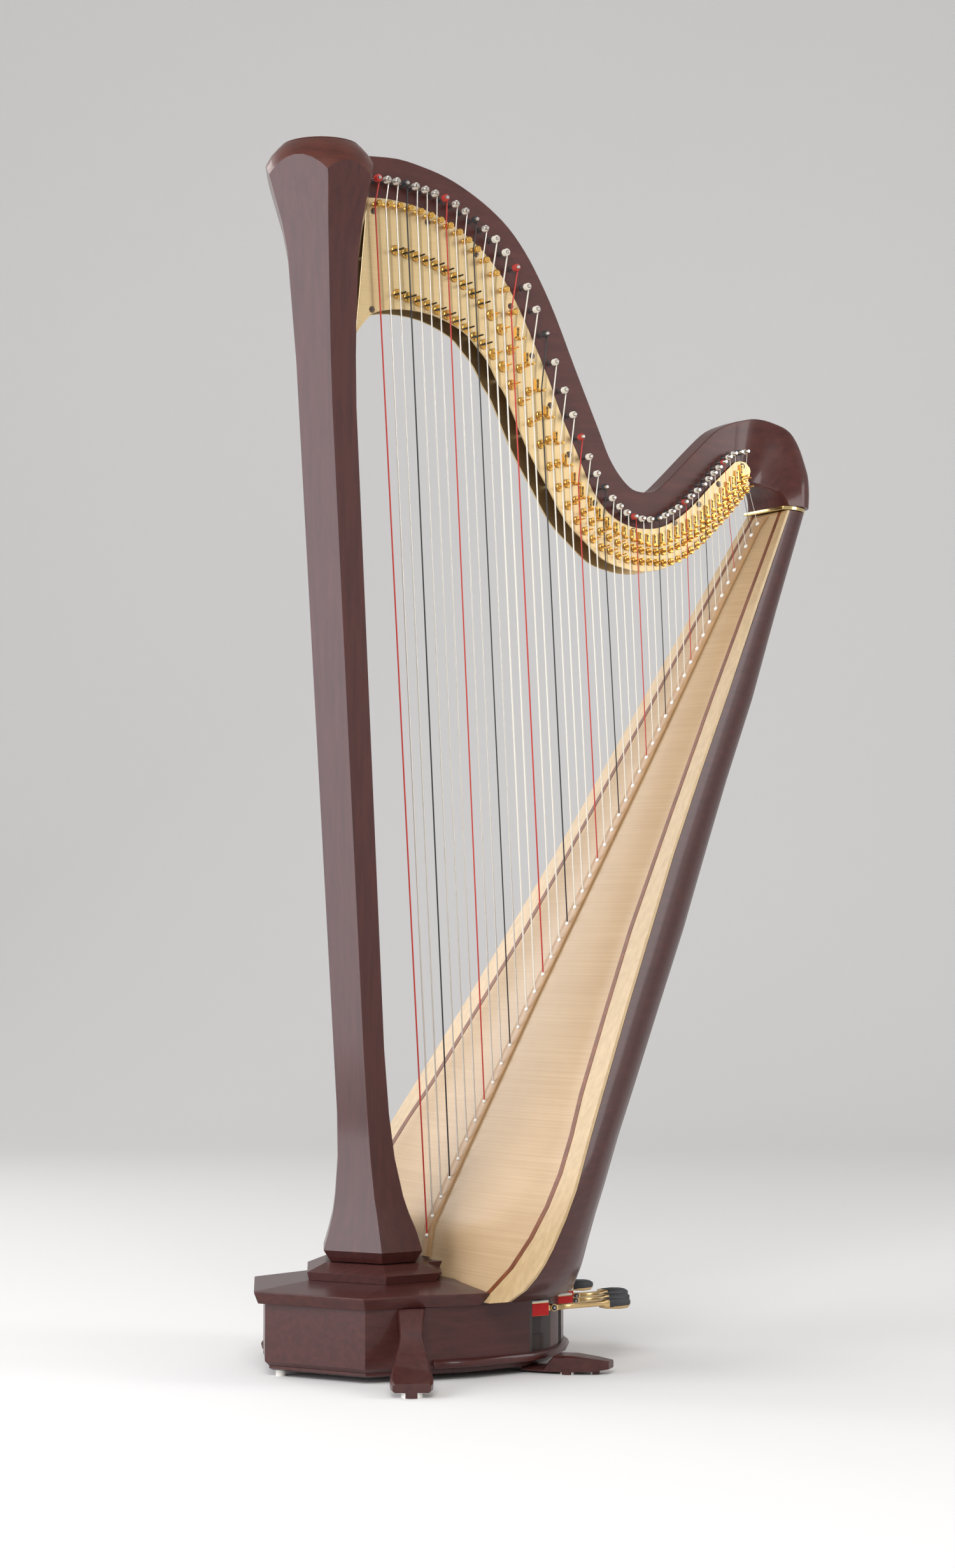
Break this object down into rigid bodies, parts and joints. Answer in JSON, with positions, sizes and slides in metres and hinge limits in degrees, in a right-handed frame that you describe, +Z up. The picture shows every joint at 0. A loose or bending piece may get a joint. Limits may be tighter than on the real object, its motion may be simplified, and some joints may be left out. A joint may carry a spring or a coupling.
{
  "type": "pedal harp",
  "caption": "Tall concert harp with a hexagonal column, curved neck with brass action plates, crowned soundboard, straight strings and hinged foot pedals at the rear of its base.",
  "frame": {"origin": "on the ground under the middle of the harp's outer box", "axes": "+Z up; -X towards the column and the front tip of the base, +X towards the player; -Y is the side of the strings and tuning pin heads"},
  "size_m": [1.0086, 0.587, 1.7907],
  "materials": {
    "wood": "satin lacquer",
    "spruce": "satin lacquer",
    "inlay": "satin lacquer",
    "action_brass": "brushed",
    "gold": "polished",
    "pedal_brass": "satin",
    "rubber": "matte",
    "cord": "smooth",
    "steel": "satin"
  },
  "bodies": {
    "harp": {"base_wall": "wood", "base_floor": "wood", "base_top": "wood", "base_lid": "wood", "base_bead": "wood", "column_plinth": "wood", "column": "wood", "crown_cap": "wood", "neck": "wood", "action_plate_left": "action_brass", "action_plate_right": "action_brass", "shoulder_band": "action_brass", "soundbox_shell": "wood", "soundboard": "spruce", "strings": "cord", "inlay_near": "inlay", "inlay_far": "inlay", "front_leg_near": "wood", "front_leg_far": "wood", "rear_foot_near": "wood", "rear_foot_far": "wood", "pedal_rack": "steel"},
    "pedal_D": {"pedal_D": "pedal_brass"},
    "tip_D": {"pedal_tip_D": "rubber"},
    "rod_D": {"pedal_rod_D": "steel"},
    "disc_D_natural": {"disc_D_natural": "gold"},
    "disc_D_sharp": {"disc_D_sharp": "gold"},
    "pedal_C": {"pedal_C": "pedal_brass"},
    "tip_C": {"pedal_tip_C": "rubber"},
    "rod_C": {"pedal_rod_C": "steel"},
    "disc_C_natural": {"disc_C_natural": "gold"},
    "disc_C_sharp": {"disc_C_sharp": "gold"},
    "pedal_B": {"pedal_B": "pedal_brass"},
    "tip_B": {"pedal_tip_B": "rubber"},
    "rod_B": {"pedal_rod_B": "steel"},
    "disc_B_natural": {"disc_B_natural": "gold"},
    "disc_B_sharp": {"disc_B_sharp": "gold"},
    "pedal_E": {"pedal_E": "pedal_brass"},
    "tip_E": {"pedal_tip_E": "rubber"},
    "rod_E": {"pedal_rod_E": "steel"},
    "disc_E_natural": {"disc_E_natural": "gold"},
    "disc_E_sharp": {"disc_E_sharp": "gold"},
    "pedal_F": {"pedal_F": "pedal_brass"},
    "tip_F": {"pedal_tip_F": "rubber"},
    "rod_F": {"pedal_rod_F": "steel"},
    "disc_F_natural": {"disc_F_natural": "gold"},
    "disc_F_sharp": {"disc_F_sharp": "gold"},
    "pedal_G": {"pedal_G": "pedal_brass"},
    "tip_G": {"pedal_tip_G": "rubber"},
    "rod_G": {"pedal_rod_G": "steel"},
    "disc_G_natural": {"disc_G_natural": "gold"},
    "disc_G_sharp": {"disc_G_sharp": "gold"},
    "pedal_A": {"pedal_A": "pedal_brass"},
    "tip_A": {"pedal_tip_A": "rubber"},
    "rod_A": {"pedal_rod_A": "steel"},
    "disc_A_natural": {"disc_A_natural": "gold"},
    "disc_A_sharp": {"disc_A_sharp": "gold"}
  },
  "joints": [
    {"name": "press_D", "type": "hinge", "parent": "harp", "child": "pedal_D", "pos_m": [-0.3847, -0.105, 0.055], "axis": [0, 1, 0], "range_deg": [0, 10.42], "stiffness_Nm_per_rad": 90, "springref_deg": -3.44},
    {"name": "fold_D", "type": "hinge", "parent": "pedal_D", "child": "tip_D", "pos_m": [-0.107, -0.172, 0.0905], "axis": [0, -1, 0], "range_deg": [0, 15]},
    {"name": "pull_D", "type": "slide", "parent": "harp", "child": "rod_D", "axis": [-0.0562, 0, 0.9984], "range_m": [-0.0145, 0]},
    {"name": "turn_D_natural", "type": "hinge", "parent": "harp", "child": "disc_D_natural", "pos_m": [-0.04398, 0.0035, 1.49594], "axis": [0, -1, 0], "range_deg": [0, 45]},
    {"name": "turn_D_sharp", "type": "hinge", "parent": "harp", "child": "disc_D_sharp", "pos_m": [-0.04095, 0.0035, 1.44515], "axis": [0, -1, 0], "range_deg": [0, 45]},
    {"name": "press_C", "type": "hinge", "parent": "harp", "child": "pedal_C", "pos_m": [-0.3847, -0.07, 0.055], "axis": [0, 1, 0], "range_deg": [0, 8.01], "stiffness_Nm_per_rad": 90, "springref_deg": -3.44},
    {"name": "fold_C", "type": "hinge", "parent": "pedal_C", "child": "tip_C", "pos_m": [-0.0366, -0.125, 0.0905], "axis": [0, -1, 0], "range_deg": [0, 70]},
    {"name": "pull_C", "type": "slide", "parent": "harp", "child": "rod_C", "axis": [-0.0562, 0, 0.9984], "range_m": [-0.0145, 0]},
    {"name": "turn_C_natural", "type": "hinge", "parent": "harp", "child": "disc_C_natural", "pos_m": [-0.06248, 0.0035, 1.52299], "axis": [0, -1, 0], "range_deg": [0, 45]},
    {"name": "turn_C_sharp", "type": "hinge", "parent": "harp", "child": "disc_C_sharp", "pos_m": [-0.05922, 0.0035, 1.46921], "axis": [0, -1, 0], "range_deg": [0, 45]},
    {"name": "press_B", "type": "hinge", "parent": "harp", "child": "pedal_B", "pos_m": [-0.3847, -0.035, 0.055], "axis": [0, 1, 0], "range_deg": [0, 7.26], "stiffness_Nm_per_rad": 90, "springref_deg": -3.44},
    {"name": "fold_B", "type": "hinge", "parent": "pedal_B", "child": "tip_B", "pos_m": [-0.0037, -0.08, 0.0905], "axis": [0, -1, 0], "range_deg": [0, 70]},
    {"name": "pull_B", "type": "slide", "parent": "harp", "child": "rod_B", "axis": [-0.0562, 0, 0.9984], "range_m": [-0.0145, 0]},
    {"name": "turn_B_natural", "type": "hinge", "parent": "harp", "child": "disc_B_natural", "pos_m": [0.04377, 0.0035, 1.32591], "axis": [0, -1, 0], "range_deg": [0, 45]},
    {"name": "turn_B_sharp", "type": "hinge", "parent": "harp", "child": "disc_B_sharp", "pos_m": [0.0459, 0.0035, 1.29175], "axis": [0, -1, 0], "range_deg": [0, 45]},
    {"name": "press_E", "type": "hinge", "parent": "harp", "child": "pedal_E", "pos_m": [-0.3847, 0, 0.055], "axis": [0, 1, 0], "range_deg": [0, 7], "stiffness_Nm_per_rad": 90, "springref_deg": -3.44},
    {"name": "fold_E", "type": "hinge", "parent": "pedal_E", "child": "tip_E", "pos_m": [0.0093, 0.032, 0.0905], "axis": [0, -1, 0], "range_deg": [0, 70]},
    {"name": "pull_E", "type": "slide", "parent": "harp", "child": "rod_E", "axis": [-0.0562, 0, 0.9984], "range_m": [-0.0145, 0]},
    {"name": "turn_E_natural", "type": "hinge", "parent": "harp", "child": "disc_E_natural", "pos_m": [-0.02712, 0.0035, 1.462], "axis": [0, -1, 0], "range_deg": [0, 45]},
    {"name": "turn_E_sharp", "type": "hinge", "parent": "harp", "child": "disc_E_sharp", "pos_m": [-0.02422, 0.0035, 1.41458], "axis": [0, -1, 0], "range_deg": [0, 45]},
    {"name": "press_F", "type": "hinge", "parent": "harp", "child": "pedal_F", "pos_m": [-0.3847, 0.035, 0.055], "axis": [0, 1, 0], "range_deg": [0, 7.26], "stiffness_Nm_per_rad": 90, "springref_deg": -3.44},
    {"name": "fold_F", "type": "hinge", "parent": "pedal_F", "child": "tip_F", "pos_m": [-0.0037, 0.08, 0.0905], "axis": [0, -1, 0], "range_deg": [0, 70]},
    {"name": "pull_F", "type": "slide", "parent": "harp", "child": "rod_F", "axis": [-0.0562, 0, 0.9984], "range_m": [-0.0145, 0]},
    {"name": "turn_F_natural", "type": "hinge", "parent": "harp", "child": "disc_F_natural", "pos_m": [-0.00791, 0.0035, 1.42659], "axis": [0, -1, 0], "range_deg": [0, 45]},
    {"name": "turn_F_sharp", "type": "hinge", "parent": "harp", "child": "disc_F_sharp", "pos_m": [-0.00528, 0.0035, 1.38259], "axis": [0, -1, 0], "range_deg": [0, 45]},
    {"name": "press_G", "type": "hinge", "parent": "harp", "child": "pedal_G", "pos_m": [-0.3847, 0.07, 0.055], "axis": [0, 1, 0], "range_deg": [0, 8.06], "stiffness_Nm_per_rad": 90, "springref_deg": -3.44},
    {"name": "fold_G", "type": "hinge", "parent": "pedal_G", "child": "tip_G", "pos_m": [-0.0386, 0.128, 0.0905], "axis": [0, -1, 0], "range_deg": [0, 70]},
    {"name": "pull_G", "type": "slide", "parent": "harp", "child": "rod_G", "axis": [-0.0562, 0, 0.9984], "range_m": [-0.0145, 0]},
    {"name": "turn_G_natural", "type": "hinge", "parent": "harp", "child": "disc_G_natural", "pos_m": [0.0095, 0.0035, 1.39019], "axis": [0, -1, 0], "range_deg": [0, 45]},
    {"name": "turn_G_sharp", "type": "hinge", "parent": "harp", "child": "disc_G_sharp", "pos_m": [0.01196, 0.0035, 1.34965], "axis": [0, -1, 0], "range_deg": [0, 45]},
    {"name": "press_A", "type": "hinge", "parent": "harp", "child": "pedal_A", "pos_m": [-0.3847, 0.105, 0.055], "axis": [0, 1, 0], "range_deg": [0, 10.42], "stiffness_Nm_per_rad": 90, "springref_deg": -3.44},
    {"name": "fold_A", "type": "hinge", "parent": "pedal_A", "child": "tip_A", "pos_m": [-0.107, 0.172, 0.0905], "axis": [0, -1, 0], "range_deg": [0, 15]},
    {"name": "pull_A", "type": "slide", "parent": "harp", "child": "rod_A", "axis": [-0.0562, 0, 0.9984], "range_m": [-0.0145, 0]},
    {"name": "turn_A_natural", "type": "hinge", "parent": "harp", "child": "disc_A_natural", "pos_m": [0.02662, 0.0035, 1.35564], "axis": [0, -1, 0], "range_deg": [0, 45]},
    {"name": "turn_A_sharp", "type": "hinge", "parent": "harp", "child": "disc_A_sharp", "pos_m": [0.02892, 0.0035, 1.31844], "axis": [0, -1, 0], "range_deg": [0, 45]}
  ],
  "couplings": [
    {"joint": "pull_D", "follows": "press_D", "m_per_rad": -0.07},
    {"joint": "turn_D_natural", "follows": "press_D", "ratio": 4.3186},
    {"joint": "turn_D_sharp", "follows": "press_D", "ratio": 4.3186},
    {"joint": "pull_C", "follows": "press_C", "m_per_rad": -0.07},
    {"joint": "turn_C_natural", "follows": "press_C", "ratio": 5.618},
    {"joint": "turn_C_sharp", "follows": "press_C", "ratio": 5.618},
    {"joint": "pull_B", "follows": "press_B", "m_per_rad": -0.07},
    {"joint": "turn_B_natural", "follows": "press_B", "ratio": 6.1983},
    {"joint": "turn_B_sharp", "follows": "press_B", "ratio": 6.1983},
    {"joint": "pull_E", "follows": "press_E", "m_per_rad": -0.07},
    {"joint": "turn_E_natural", "follows": "press_E", "ratio": 6.4286},
    {"joint": "turn_E_sharp", "follows": "press_E", "ratio": 6.4286},
    {"joint": "pull_F", "follows": "press_F", "m_per_rad": -0.07},
    {"joint": "turn_F_natural", "follows": "press_F", "ratio": 6.1983},
    {"joint": "turn_F_sharp", "follows": "press_F", "ratio": 6.1983},
    {"joint": "pull_G", "follows": "press_G", "m_per_rad": -0.07},
    {"joint": "turn_G_natural", "follows": "press_G", "ratio": 5.5831},
    {"joint": "turn_G_sharp", "follows": "press_G", "ratio": 5.5831},
    {"joint": "pull_A", "follows": "press_A", "m_per_rad": -0.07},
    {"joint": "turn_A_natural", "follows": "press_A", "ratio": 4.3186},
    {"joint": "turn_A_sharp", "follows": "press_A", "ratio": 4.3186}
  ]
}
